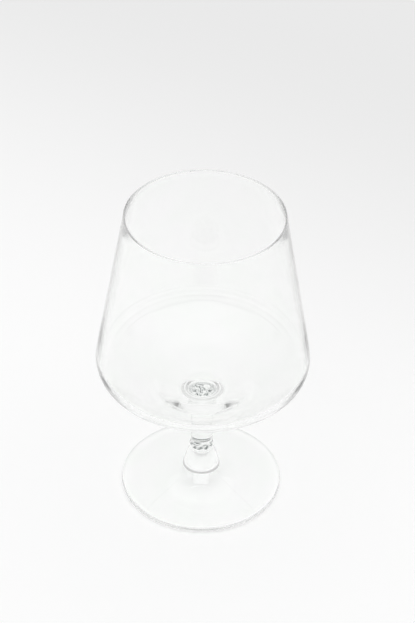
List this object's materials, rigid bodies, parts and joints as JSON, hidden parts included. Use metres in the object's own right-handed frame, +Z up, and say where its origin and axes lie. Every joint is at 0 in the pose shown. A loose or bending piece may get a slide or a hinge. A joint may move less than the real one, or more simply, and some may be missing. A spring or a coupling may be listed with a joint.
{
  "type": "brandy snifter",
  "caption": "Clear brandy snifter: balloon bowl with a straight tapering wall, tight shoulder and thick round base with a flat floor, on a short solid stem and a dished round foot with a bell-shaped hub.",
  "frame": {"origin": "middle of the foot's resting face, on the table plane", "axes": "+Z up along the axis of the bowl, stem and foot; the object is round about Z, so X and Y are free"},
  "size_m": [0.084, 0.084, 0.132],
  "materials": {
    "bowl": "clear fire-polished blown glass",
    "stem": "clear solid drawn glass",
    "foot": "clear pressed and fire-polished glass"
  },
  "bodies": {
    "root": {"bowl": "bowl", "stem": "stem", "foot": "foot"}
  },
  "joints": []
}
